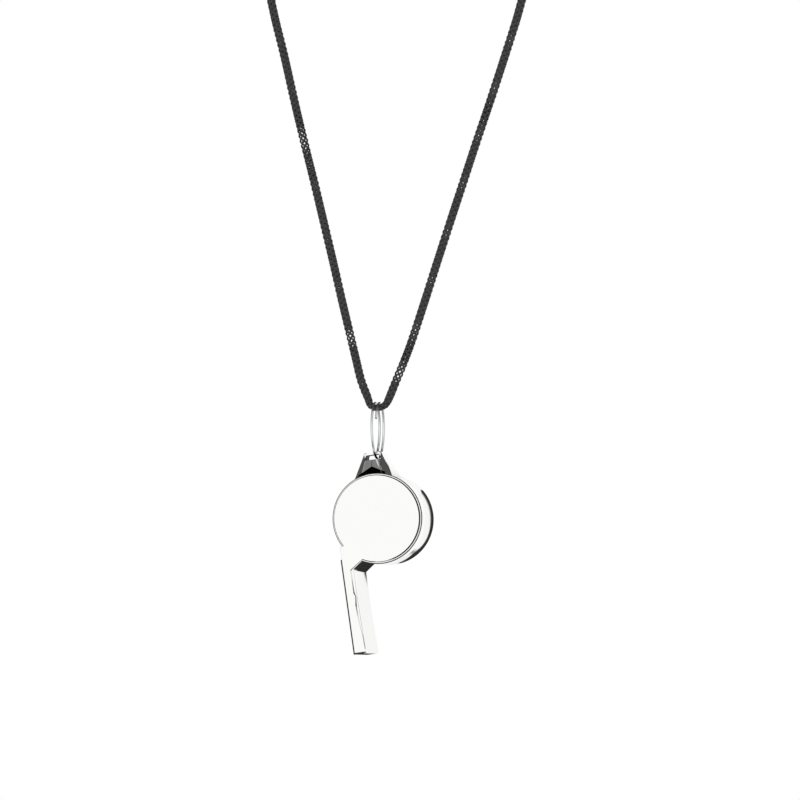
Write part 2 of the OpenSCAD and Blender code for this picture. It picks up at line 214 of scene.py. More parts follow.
def yarn_material():
    """Dull black polyester yarn: charcoal, with the soft shine of fine filaments."""
    material, tree = new_material("polyester_yarn")
    lay = add(tree, "UVMap", uv_map="yarn").outputs[0]
    # Filaments run along the yarn. Real ones are too fine to show, so about seven are drawn across.
    strands = add(tree, "TexWave", {
        "Vector": lay, "Scale": 4.5, "Distortion": 1.5, "Detail": 1.0}, bands_direction="X")
    spot = add(tree, "TexCoord").outputs["Object"]
    patches = add(tree, "TexNoise", {"Vector": spot, "Scale": 1 / (3 * MM), "Detail": 2.0})
    tone = add(tree, "Mix", {
        0: patches.outputs["Fac"], "A": rgb("#242426"), "B": rgb("#39393C")}, data_type="RGBA")
    bump = add(tree, "Bump", {
        "Height": strands.outputs["Fac"], "Strength": 0.4, "Distance": 0.03 * MM})
    shader = add(tree, "BsdfPrincipled", {
        "Base Color": tone.outputs[2], "Roughness": 0.55, "Normal": bump.outputs[0],
        "Sheen Weight": 0.25, "Sheen Roughness": 0.4})
    surface(tree, shader.outputs[0])
    return material


cork = cork_material()
yarn = yarn_material()


# ---------------------------------------------------------------- the braided cord
def smooth_line(points, per_span):
    """Catmull-Rom line through the points, the same line as the CAD's."""
    p = np.array(points, float)
    padded = np.vstack([p[:1], p, p[-1:]])
    rows = []
    for i in range(len(p) - 1):
        a, b, c, d = padded[i:i + 4]
        for s in np.arange(per_span) / per_span:
            rows.append((2 * b + (c - a) * s + (2 * a - 5 * b + 4 * c - d) * s * s
                         + (3 * b - a - 3 * c + d) * s ** 3) / 2)
    return np.vstack(rows + [p[-1:]])


def even_line(line, step):
    """The same line with its points an even step apart, and how far along each lies."""
    run = np.concatenate([[0], np.cumsum(np.linalg.norm(np.diff(line, axis=0), axis=1))])
    at = np.linspace(0, run[-1], max(2, int(round(run[-1] / step)) + 1))
    return np.stack([np.interp(at, run, line[:, k]) for k in range(3)], 1), at


def unit_rows(v):
    return v / np.linalg.norm(v, axis=1)[:, None]


def cross_frames(line, first):
    """Directions square to the line that don't twist about it."""
    way = unit_rows(np.gradient(line, axis=0))
    a = np.empty_like(line)
    v = np.array(first, float)
    for i, d in enumerate(way):
        v = v - d * (v @ d)
        v /= np.linalg.norm(v)
        a[i] = v
    return way, a, np.cross(way, a)


LEAD = 5.2
YARNS_EACH_WAY = 4
STEPS_PER_CROSSING = 6
YARN_SIDES = 6
YARN_LIE, WEAVE_DEPTH = 0.84, 0.13    # where a yarn lies, and how far it weaves in and out
YARN_WIDE_HALF, YARN_HIGH_HALF = 0.36, 0.15
LOOSE_NARROWER = 0.13
SPAN_POINTS = 16

# Stretches where the braid is worked loose and light pins through:
# the side of the loop (-1 is the left), the height, the half length.
LOOSE = [(-1, -72, 10), (-1, -120.3, 3.5), (1, -64, 4), (1, -124.6, 8)]


def slack(p):
    """How loose the braid is at a point of the cord, from 0 to 1."""
    side = 1 if p[0] > LOW[0] else -1
    near_by = [1 - abs(p[2] - z) / half for where, z, half in LOOSE if where == side]
    return min(1, 2 * max(0, max(near_by)))


def braid(points, first, radius, turn=0.0):
    """Vertices, faces and yarn coordinates of a tubular braid along a line of points.
    radius(point) is the braid's outer radius there, and turn twists it slowly, in turns a mm."""
    line, at = even_line(smooth_line(points, SPAN_POINTS), LEAD / 4 / STEPS_PER_CROSSING)
    way, a, b = cross_frames(line, first)
    outer = np.array([radius(p) for p in line])
    share = outer / (CORD_D / 2)
    wide_half = share * np.array([YARN_WIDE_HALF - LOOSE_NARROWER * slack(p) for p in line])
    high_half = YARN_HIGH_HALF * share
    verts, faces, lays = [], [], []
    n = YARN_SIDES
    q = 2 * math.pi * np.arange(n) / n
    for sense in (1, -1):
        weave = sense * np.cos(8 * math.pi * at / LEAD)
        r = (YARN_LIE + WEAVE_DEPTH * weave) * share
        for k in range(YARNS_EACH_WAY):
            angle = 2 * math.pi * (sense * at / LEAD + k / YARNS_EACH_WAY + turn * at)
            out = np.cos(angle)[:, None] * a + np.sin(angle)[:, None] * b
            centre = line + r[:, None] * out
            run = unit_rows(np.gradient(centre, axis=0))
            wide = unit_rows(np.cross(run, out))
            high = np.cross(wide, run)
            start = len(verts) * n * len(line)
            rings = (centre[:, None, :]
                     + wide_half[:, None, None] * np.cos(q)[None, :, None] * wide[:, None, :]
                     + high_half[:, None, None] * np.sin(q)[None, :, None] * high[:, None, :])
            verts.append(rings.reshape(-1, 3))
            i, j = np.meshgrid(np.arange(len(line) - 1), np.arange(n), indexing="ij")
            m = (j + 1) % n
            quads = np.stack([i * n + j, i * n + m, (i + 1) * n + m, (i + 1) * n + j], -1)
            faces.extend((quads.reshape(-1, 4) + start).tolist())
            faces.append([start + x for x in range(n)][::-1])
            faces.append([start + (len(line) - 1) * n + x for x in range(n)])
            lays.append(np.stack([np.tile(np.arange(n) / n, len(line)), np.repeat(at, n)], 1))
    return np.vstack(verts), faces, np.vstack(lays)


def braid_object(name, parts):
    """One object from several braids, with the yarn's own coordinates in its UV map."""
    verts, faces, lays, base = [], [], [], 0
    for v, f, lay in parts:
        verts.append(v)
        lays.append(lay)
        faces.extend([[i + base for i in face] for face in f])
        base += len(v)
    verts, lays = np.vstack(verts), np.vstack(lays)
    mesh = bpy.data.meshes.new(name)
    mesh.from_pydata((verts * MM).tolist(), [], faces)
    corner = np.empty(len(mesh.loops), np.int32)
    mesh.loops.foreach_get("vertex_index", corner)
    mesh.uv_layers.new(name="yarn").data.foreach_set("uv", lays[corner].astype(np.float32).ravel())
    mesh.polygons.foreach_set("use_smooth", np.ones(len(mesh.polygons), bool))
    mesh.materials.append(yarn)
    obj = bpy.data.objects.new(name, mesh)
    SCENE.collection.objects.link(obj)
    return obj


def cord_radius(p):
    """The cord's radius: it is squeezed where the ring pinches it."""
    s = min(np.linalg.norm(p - LOW) / PINCH_RUN, 1)
    return (PINCH_D + (CORD_D - PINCH_D) * s * s * (3 - 2 * s)) / 2


cord = braid_object("neck_cord", [braid(ROUTE, (0, 1, 0), cord_radius, 0.01)])
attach(cord, "lanyard")
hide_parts("lanyard_cord")

# The knot: three and a half wraps, with the two ends coming out under them as short tails.
KNOT_FROM, KNOT_TO, KNOT_Z = 5, 13, 1.1
WRAPS, WRAP_R = 3.5, 1.8
STEPS_A_WRAP = 12
KNOT_CORD_R = 0.9
wrap_points = []
for i in range(int(WRAPS * STEPS_A_WRAP) + 1):
    s = i / (WRAPS * STEPS_A_WRAP)
    r = WRAP_R * min(1, 0.45 + 4 * s, 0.45 + 4 * (1 - s))
    a = 2 * math.pi * WRAPS * s
    x = KNOT_FROM + 1 + (KNOT_TO - KNOT_FROM - 2) * s
    wrap_points.append((x, r * math.sin(a), KNOT_Z + r * math.cos(a)))
tail_left = [(9, -0.5, 1.6), (6.5, -0.7, 1.9), (4, -1, 2.6), (1.5, -1.5, 3.4), (-0.5, -2.2, 4.4)]
tail_right = [(9, 0.5, 1.6), (11.5, 0.7, 1.9), (14, 1, 2.6), (16.5, 1.6, 3.2), (18.5, 2.4, 3.9)]


def knot_radius(p):
    """The cord is drawn tight, and so a little thinner, all through the knot."""
    return KNOT_CORD_R


knot = braid_object("cord_knot", [
    braid(wrap_points, (1, 0, 0), knot_radius),
    braid(tail_left, (0, 1, 0), knot_radius),
    braid(tail_right, (0, 1, 0), knot_radius),
])
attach(knot, "lanyard")
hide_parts("lanyard_knot")


# ---------------------------------------------------------------- making metal pieces
def new_object(name, bm):
    """An object with the bmesh's shape. The bmesh itself is freed."""
    mesh = bpy.data.meshes.new(name)
    bm.to_mesh(mesh)
    bm.free()
    obj = bpy.data.objects.new(name, mesh)
    SCENE.collection.objects.link(obj)
    return obj


def hung_piece(name, bm, material, stands_for, body="whistle", place=HUNG):
    """The finished piece as an object at the origin, riding on its body for its CAD nodes.
    Faces numbered 1 get the painted shade."""
    bmesh.ops.transform(bm, matrix=place, verts=bm.verts)
    obj = new_object(name, bm)
    obj.data.materials.append(material)
    if max(face.material_index for face in obj.data.polygons) == 1:
        obj.data.materials.append(painted_shade_material)
    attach(obj, body)
    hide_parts(*stands_for)
    return obj


def shade(bm, sharp):
    """Smooth faces, with a hard edge wherever two faces turn by more than the angle."""
    for face in bm.faces:
        face.smooth = True
    for edge in bm.edges:
        if len(edge.link_faces) == 2:
            edge.smooth = edge.calc_face_angle(0) < math.radians(sharp)


def close_holes(bm):
    """Fills each open rim, such as one left by a cut."""
    bmesh.ops.holes_fill(bm, edges=[e for e in bm.edges if len(e.link_faces) == 1], sides=0)


def flat_way(p, q):
    """Unit direction from p to q in u and w, and the normal on its left as it goes."""
    d = (q - p).normalized()
    return d, Vector((-d.y, d.x))


WAY_AB, OUT_AB = flat_way(FOLD_A, FOLD_B)
WAY_BC, OUT_BC = flat_way(FOLD_B, FOLD_C)


def meet(out_a, a, out_b, b):
    """The point whose distance along out_a is a and along out_b is b."""
    m = Matrix(((out_a.x, out_a.y), (out_b.x, out_b.y)))
    return m.inverted() @ Vector((a, b))


# ---------------------------------------------------------------- barrel band
LIP_TURN, FOOT_TURN = 214, 243    # where the rolled strip starts and ends, in degrees
ROLL_STEPS = 220
STRIP_SLOPE = math.radians(62)    # between the round and the strip that leaves it
WAIST = 0.25
WAIST_FLAT = 2.024
WAIST_FAR_FROM, WAIST_FAR_RUN = 2, 7.6
EDGE_ROUND = 0.38
INNER_ROUND = 0.09
SOLDERED_SHARE = 0.2    # what solder leaves of the roundings below the barrel
FILLET_TILT = 0.026
# The turned-out edges: how far, from where across the strip, over how much to the rim, and how
# far down the strip.
EDGE_LIFT, LIFT_FROM, LIFT_WIDE, LIFT_RUN = 0.25, 3, 5.8, 6.5
PROFILE_STEPS = 30
HOLD = 0.05    # points this close to the roundings keep the flat part flat
STRIP_STATIONS = (-12.6, -13.5, -15, -17, -19, -25, -34)
# How far in from the band's rim the painted shade on the near edge's rounding reaches.
PAINTED_SHADE_RIM = 0.2


def waist(y):
    """How far the rolled band draws in between the cheeks' flanges.
    The near half is the CAD's, and the far half stays drawn in further out."""
    if y > 0:
        s = min(max(y - WAIST_FAR_FROM, 0) / WAIST_FAR_RUN, 1)
        return WAIST * (1 - s ** 3 * (4 - 3 * s))
    s = min(max((-y - WAIST_FLAT) / (FLANGE_Y - WAIST_FLAT), 0), 1)
    return WAIST * (1 - s * s * (3 - 2 * s))


def fillet_tilt(y):
    """The strip under the barrel stands out more at the far edge than at the near one."""
    return FILLET_TILT * y


def edge_lift(y):
    """At the fold the strip's two edges are turned out, and its middle isn't."""
    return EDGE_LIFT * max(0, (abs(y) - LIFT_FROM) / LIFT_WIDE) ** 2


def band_profile():
    """Points (y, depth) round the band's cross-section, with rounded outer edges."""
    half, r, q, count = BAND_HALF, EDGE_ROUND, INNER_ROUND, PROFILE_STEPS
    outer = [-half + r + (2 * half - 2 * r) * i / count for i in range(count + 1)]
    outer = [outer[0], outer[0] + HOLD] + outer[1:-1] + [outer[-1] - HOLD, outer[-1]]
    corner = [(r * math.sin(a), r * (1 - math.cos(a)))
              for a in map(math.radians, (15, 30, 45, 60, 75, 90))]
    inner = [(q * math.cos(a), q * math.sin(a)) for a in map(math.radians, (0, 30, 60, 90))]
    points = [(y, 0) for y in outer]
    points += [(half - r + dy, dd) for dy, dd in corner]
    points += [(half - q + dy, BAND_T - q + dd) for dy, dd in inner]
    points += [(-half + q - dy, BAND_T - q + dd) for dy, dd in inner[::-1]]
    points += [(-half + r - dy, dd) for dy, dd in corner[::-1]]
    return points


def tightened(y, d):
    """A profile point on the strip below the barrel, where solder fills the edges' roundings."""
    side, k = 1 if y > 0 else -1, SOLDERED_SHARE
    if abs(y) > BAND_HALF - EDGE_ROUND and d < EDGE_ROUND:
        return side * (BAND_HALF - (BAND_HALF - abs(y)) * k), d * k
    if abs(y) > BAND_HALF - INNER_ROUND - 1e-6 and d > BAND_T - INNER_ROUND - 1e-6:
        return side * (BAND_HALF - (BAND_HALF - abs(y)) * k), BAND_T - (BAND_T - d) * k
    return y, d


def nearest(made, spots):
    """For each spot the new vertex that lies there."""
    verts = [v for v in made if isinstance(v, bmesh.types.BMVert)]
    return [min(verts, key=lambda v: (v.co - spot).length_squared) for spot in spots]


def make_band():
    """One strip: rolled from the lip round the barrel, then folded down along the mouthpiece."""
    profile = band_profile()
    bm = bmesh.new()
    lip = math.radians(LIP_TURN)
    depth = [d + waist(y) for y, d in profile]
    ring = [bm.verts.new((math.cos(lip) * (BARREL_R - d), y, math.sin(lip) * (BARREL_R - d)))
            for (y, _), d in zip(profile, depth)]
    loop = [bm.edges.new(pair) for pair in zip(ring, ring[1:] + ring[:1])]
    bm.faces.new(ring)
    turn = math.radians(LIP_TURN + 360 - FOOT_TURN)
    made = bmesh.ops.spin(bm, geom=ring + loop, cent=(0, 0, 0), axis=(0, 1, 0), dvec=(0, 0, 0),
                          angle=turn, steps=ROLL_STEPS, use_merge=False)
    turned = Matrix.Rotation(turn, 3, "Y")
    current = nearest(made["geom_last"], [turned @ v.co for v in ring])
    # The corner under the barrel slides along the round by what the strip stands out.
    for v, (y, _) in zip(current, profile):
        shift = fillet_tilt(y) / math.sin(STRIP_SLOPE) / BARREL_R
        v.co = Matrix.Rotation(-shift, 3, "Y") @ v.co
    base_ab, base_bc = FOLD_B.dot(OUT_AB), FOLD_B.dot(OUT_BC)

    def at_fold(y, d):
        lift = edge_lift(y) * (1 - d / BAND_T)
        return meet(OUT_AB, base_ab + fillet_tilt(y) - d, OUT_BC, base_bc + lift - d)

    def down(w):
        share = (FOLD_B.y - w) / (FOLD_B.y - FOLD_C.y)
        edge = FOLD_B.lerp(FOLD_C, share)

        def at(y, d):
            fade = max(0, 1 - (FOLD_B.y - w) / LIFT_RUN)
            return edge + OUT_BC * (edge_lift(y) * fade * (1 - d / BAND_T) - d)
        return at

    stations = [at_fold] + [down(w) for w in STRIP_STATIONS]
    for station in stations:
        edges = [bm.edges.get(pair) for pair in zip(current, current[1:] + current[:1])]
        made = bmesh.ops.extrude_edge_only(bm, edges=edges)
        current = nearest(made["geom"], [v.co for v in current])
        for v, point in zip(current, profile):
            y, d = tightened(*point)
            p = station(y, d)
            v.co = (p.x, y, p.y)
    bm.faces.new(current[::-1])
    # The two ends: the faces round the lip are cut level, and so are those near the tip.
    ends = ((lambda c: c.x < -8 and -8 < c.z < -4, LIP_W), (lambda c: c.z < -20, TIP_W))
    for is_near, level in ends:
        part = [f for f in bm.faces if is_near(f.calc_center_median())]
        geom = list({g for f in part for g in (f, *f.edges, *f.verts)})
        bmesh.ops.bisect_plane(bm, geom=geom, plane_co=(0, 0, level), plane_no=(0, 0, -1),
                               clear_outer=True)
    close_holes(bm)
    bmesh.ops.recalc_face_normals(bm, faces=bm.faces)
    # The near edge's rounding gets painted shade where it meets the rolled face.
    for face in bm.faces:
        c = face.calc_center_median()
        on_rim = BARREL_R - PAINTED_SHADE_RIM < math.hypot(c.x, c.z) < BARREL_R + 0.01
        if on_rim and c.y < -BAND_HALF + EDGE_ROUND and abs(face.normal.y) > 0.1:
            face.material_index = 1
    shade(bm, 35)
    hung_piece("barrel_band_strip", bm, chrome, ["barrel_band"])


make_band()


# ---------------------------------------------------------------- cheeks
CHEEK_SHEET = 0.4
CHEEK_STEPS = 240
FACE_R = 10.87
SHOULDER_R = 0.4
SHOULDER_LEAST, SHOULDER_REST = 0.6, 0.4    # its share where narrowest, and what is added
SHOULDER_TURN = 0.35    # how far under the right end it is widest, in radians
FLANGE_RUN = 0.62
TIP_LEAN = 0.4
STEP_CORNER = 0.6
STRIP_EDGE = 0.08
FACE_MARGIN = 0.02
TIP_SEAM_U = -7.38
# The painted shade: how far in, down and out its line along the barrel reaches, how far up from
# the tip, and where its mark down the strip starts and ends.
PAINTED_SHADE_IN, PAINTED_SHADE_LOW, PAINTED_SHADE_Y = 0.3, -10.5, -8.5
TIP_PAINTED_SHADE = 0.45
PAINTED_MARK_FROM, PAINTED_MARK_TO = -20.9, -17.1


def seam_side():
    """The cheek's edge over the strip: it wanders from the fold down to the tip."""
    marks = [
        (-8.36, 0, -11.7), (-8.3, 0, -13), (-8.35, 0, -17.1), (-8.02, 0, -18.2), (-8.1, 0, -19.4),
        (-8.25, 0, -20.8), (-8.05, 0, -24), (-7.6, 0, -28), (-7.42, 0, -31.5),
    ]
    return [Vector((p[0], -FLANGE_Y, p[2])) for p in smooth_line(marks, 4)]


def make_cheek(name, node, far_side):
    """A pressed pan: a flat P-shaped face, a round shoulder and a flange inside the band."""
    bm = bmesh.new()
    disc = CHAMBER_R - SOLDER_GAP
    step_w = LIP_W - SOLDER_GAP
    left_u = ROOF_U + ROOF_T + SOLDER_GAP
    start = bm.verts.new((-math.sqrt(disc ** 2 - step_w ** 2), -FLANGE_Y, step_w))
    seam = seam_side()
    # The fillet line inside the strip, up to where it meets the disc.
    inner = meet(OUT_AB, FOLD_B.dot(OUT_AB) - BAND_T - SOLDER_GAP,
                 OUT_BC, FOLD_B.dot(OUT_BC) - BAND_T - SOLDER_GAP)
    b = inner.dot(-WAY_AB)
    run = -b - math.sqrt(b * b - inner.length_squared + disc ** 2)
    foot = inner - WAY_AB * run
    seam[0] = Vector((inner.x, -FLANGE_Y, inner.y))
    turn = (math.atan2(start.co.z, start.co.x) - math.atan2(foot.y, foot.x)) % (2 * math.pi)
    made = bmesh.ops.spin(bm, geom=[start], cent=(0, 0, 0), axis=(0, 1, 0), dvec=(0, 0, 0),
                          angle=turn, steps=CHEEK_STEPS, use_merge=False)
    end = [v for v in made["geom_last"] if isinstance(v, bmesh.types.BMVert)][0]
    chain = [end] + [bm.verts.new(p) for p in seam]
    outline = ((TIP_SEAM_U, TIP_W), (left_u, TIP_W), (left_u, step_w))
    chain += [bm.verts.new((u, -FLANGE_Y, w)) for u, w in outline]
    chain.append(start)
    for a, c in zip(chain, chain[1:]):
        bm.edges.new((a, c))
    bmesh.ops.contextual_create(bm, geom=bm.edges[:])
    bmesh.ops.bevel(bm, geom=[chain[-2]], affect="VERTICES", offset=STEP_CORNER,
                    offset_type="OFFSET", segments=5, profile=0.5, material=-1)
    bm.faces.ensure_lookup_table()
    made = bmesh.ops.extrude_face_region(bm, geom=[bm.faces[0]])
    raised = [v for v in made["geom"] if isinstance(v, bmesh.types.BMVert)]
    bmesh.ops.translate(bm, vec=(0, -FLANGE_RUN, 0), verts=raised)
    cap = [f for f in made["geom"] if isinstance(f, bmesh.types.BMFace)]
    made = bmesh.ops.extrude_face_region(bm, geom=cap)
    bmesh.ops.delete(bm, geom=cap, context="FACES_ONLY")
    raised = [v for v in made["geom"] if isinstance(v, bmesh.types.BMVert)]
    bmesh.ops.translate(bm, vec=(0, FLANGE_Y + FLANGE_RUN - FACE_Y, 0), verts=raised)
    # The face laps a little over the band's edge, and its end leans back from the blowing tip.
    rim = [v for v in raised if abs(math.hypot(v.co.x, v.co.z) - disc) < 1e-3]
    bmesh.ops.scale(bm, vec=(FACE_R / disc, 1, FACE_R / disc), verts=rim)
    at_tip = [v for v in raised if v.co.z < TIP_W + 1e-4]
    bmesh.ops.translate(bm, vec=(0, 0, TIP_LEAN), verts=at_tip)
    base = [f for f in bm.faces if all(abs(v.co.y + FLANGE_Y) < 1e-6 for v in f.verts)]
    bmesh.ops.delete(bm, geom=base, context="FACES_ONLY")
    bmesh.ops.recalc_face_normals(bm, faces=bm.faces)
    top = max(bm.faces, key=lambda f: len(f.verts))
    if top.normal.y > 0:
        bmesh.ops.reverse_faces(bm, faces=bm.faces)

    def on_rim(v):
        return abs(math.hypot(v.co.x, v.co.z) - FACE_R) < 1e-3

    # A round shoulder along the barrel, narrower towards the left.
    on_disc = [e for e in top.edges if all(on_rim(v) for v in e.verts)]
    made = bmesh.ops.bevel(bm, geom=on_disc, affect="EDGES", offset=SHOULDER_R, segments=7,
                           profile=0.5, material=-1)
    for v in made["verts"]:
        r = math.hypot(v.co.x, v.co.z)
        angle = math.atan2(v.co.z, v.co.x) + SHOULDER_TURN
        keen = SHOULDER_LEAST + SHOULDER_REST * (0.5 + 0.5 * math.cos(angle))
        edge = FACE_R - (FACE_R - r) * keen
        v.co = (v.co.x * edge / r, -FACE_Y + (v.co.y + FACE_Y) * keen, v.co.z * edge / r)
    top = max(bm.faces, key=lambda f: f.calc_area())
    rest = [e for e in top.edges if any(abs(f.normal.y) < 0.01 for f in e.link_faces)]
    bmesh.ops.bevel(bm, geom=rest, affect="EDGES", offset=STRIP_EDGE, segments=3, profile=0.5,
                    material=-1)
    # Painted shade: dark lines along the barrel's joint, at the tip, and at one mark down the
    # strip.
    for face in bm.faces:
        c, n = face.calc_center_median(), face.normal
        r = math.hypot(c.x, c.z)
        outward = abs(n.x * c.x + n.z * c.z) > 0.3 * r
        joint = outward and r > FACE_R - PAINTED_SHADE_IN and c.z > PAINTED_SHADE_LOW and c.y < PAINTED_SHADE_Y
        tip = c.z < TIP_W + TIP_PAINTED_SHADE and abs(n.z) > 0.5
        painted_mark = PAINTED_MARK_FROM < c.z < PAINTED_MARK_TO and c.x > -9 and abs(n.x) > 0.5
        if joint or tip or painted_mark:
            face.material_index = 1
    # A hairline margin round the face keeps the mirror flat right up to its edges.
    top = max(bm.faces, key=lambda f: f.calc_area())
    bmesh.ops.inset_region(bm, faces=[top], thickness=FACE_MARGIN, use_boundary=True,
                           use_even_offset=True)
    bmesh.ops.solidify(bm, geom=bm.faces[:], thickness=CHEEK_SHEET)
    if far_side:
        bmesh.ops.scale(bm, vec=(1, -1, 1), verts=bm.verts)
    bmesh.ops.recalc_face_normals(bm, faces=bm.faces)
    shade(bm, 40)
    hung_piece(name, bm, chrome, [node])


make_cheek("near_cheek_pressing", "near_cheek", False)
make_cheek("far_cheek_pressing", "far_cheek", True)


# ---------------------------------------------------------------- mouthpiece roof
ROOF_EDGE = 0.05


def upright_edges(bm):
    """The edges that run up the whistle."""
    return [e for e in bm.edges if abs(e.verts[0].co.z - e.verts[1].co.z) > 1]


def make_roof():
    """The plate over the windway, with its long outer edges broken and painted shade on its sides.
    """
    bm = bmesh.new()
    bmesh.ops.create_cube(bm, size=1)
    size = Vector((ROOF_T, 2 * BAND_HALF, ROOF_END_W - TIP_W))
    bmesh.ops.scale(bm, vec=size, verts=bm.verts)
    middle = (ROOF_U + ROOF_T / 2, 0, (ROOF_END_W + TIP_W) / 2)
    bmesh.ops.translate(bm, vec=middle, verts=bm.verts)
    outer = [e for e in upright_edges(bm) if e.verts[0].co.x < ROOF_U + 0.1]
    bmesh.ops.bevel(bm, geom=outer, affect="EDGES", offset=ROOF_EDGE, segments=2, profile=0.5,
                    material=-1)
    # Its sides that face the cheeks get the painted shade.
    for face in bm.faces:
        face.material_index = 1 if abs(face.normal.y) > 0.9 else 0
    shade(bm, 35)
    hung_piece("mouthpiece_roof_plate", bm, chrome, ["mouthpiece_roof"])


make_roof()


# ---------------------------------------------------------------- tail bracket
BRACKET_TOP = 16.7
BRACKET_T = 0.6
ROOF_HALF = Vector((2.1, 2.8))
HOOD_SLOPE = Vector((0.404, 0.936))
HIP_R = 4.6
BEND_R = 0.8
FLAP_TOP = 14.8
GAP_APEX = 13.096
GAP_HALF = 3.421
SEAM_HALF = 0.06
SOFT_EDGE = 0.08
BLOCK_LOW, HOLLOW_LOW = 8, 7.5    # where the block and its hollow start, inside the barrel
PAST, FAR_PAST = 12, 25           # how far cutting solids reach along the barrel, beyond the hood
OVER = 18                         # a height above the hood's roof
DRUM_INNER = 3
DRUM_STEPS = 160
MIDDLE_W = 11
CLEAR = 0.02    # keeps two cutting faces from lying in one plane
MERGE = 0.002


def hood_half(t, w):
    """Half the hood's width at a height w, across and along the barrel, set in by t."""
    return [ROOF_HALF[k] + (BRACKET_TOP - w) * HOOD_SLOPE[k] - t * math.hypot(1, HOOD_SLOPE[k])
            for k in (0, 1)]


def hipped(t, low):
    """A hipped roof from a height low up: a block with round corners, drawn in towards its top."""
    rise = BRACKET_TOP + BEND_R
    foot, head = hood_half(t, 0), hood_half(t, rise)
    bm = bmesh.new()
    bmesh.ops.create_cube(bm, size=1)
    bmesh.ops.scale(bm, vec=(2 * foot[0], 2 * foot[1], rise), verts=bm.verts)
    bmesh.ops.translate(bm, vec=(0, 0, rise / 2), verts=bm.verts)
    bmesh.ops.bevel(bm, geom=upright_edges(bm), affect="EDGES", offset=HIP_R - t, segments=12,
                    profile=0.5, material=-1)
    upper = [v for v in bm.verts if v.co.z > 1]
    bmesh.ops.scale(bm, vec=(head[0] / foot[0], head[1] / foot[1], 1), verts=upper)
    bmesh.ops.bisect_plane(bm, geom=bm.verts[:] + bm.edges[:] + bm.faces[:], plane_co=(0, 0, low),
                           plane_no=(0, 0, -1), clear_outer=True)
    close_holes(bm)
    return bm


def prism(points, half_y):
    """A flat outline in u and w drawn out to both sides along the barrel."""
    bm = bmesh.new()
    face = bm.faces.new([bm.verts.new((u, -half_y, w)) for u, w in points])
    made = bmesh.ops.extrude_face_region(bm, geom=[face])
    fresh = [v for v in made["geom"] if isinstance(v, bmesh.types.BMVert)]
    bmesh.ops.translate(bm, vec=(0, 2 * half_y, 0), verts=fresh)
    return bm


def tent_outline(t, r):
    """The hood seen from the near cheek: a flat roof over two leaning legs, with round bends."""
    lean = math.atan(HOOD_SLOPE[0])
    top = BRACKET_TOP - t
    corner, foot = hood_half(t, top)[0] + CLEAR, hood_half(t, 0)[0] + CLEAR
    centre = Vector((corner - r * math.tan((math.pi / 2 - lean) / 2), top - r))
    angles = np.linspace(lean, math.pi / 2, 9)
    bend = [centre + r * Vector((math.cos(a), math.sin(a))) for a in angles]
    right = [Vector((foot, 0))] + bend
    return right + [Vector((-p.x, p.y)) for p in right[::-1]]


def carve(start, steps):
    """Cuts each step's solid out of the first one, or keeps only what both fill."""
    def as_object(bm):
        bmesh.ops.recalc_face_normals(bm, faces=bm.faces)
        return new_object("carving", bm)

    block, tools = as_object(start), []
    for operation, bm in steps:
        tools.append(as_object(bm))
        step = block.modifiers.new("carve", "BOOLEAN")
        step.operation, step.solver, step.object = operation, "EXACT", tools[-1]
    bpy.context.view_layer.update()
    carved = block.evaluated_get(bpy.context.evaluated_depsgraph_get())
    mesh = bpy.data.meshes.new_from_object(carved)
    for obj in tools + [block]:
        bpy.data.objects.remove(obj)
    bm = bmesh.new()
    bm.from_mesh(mesh)
    bpy.data.meshes.remove(mesh)
    bmesh.ops.remove_doubles(bm, verts=bm.verts, dist=MERGE)
    return bm


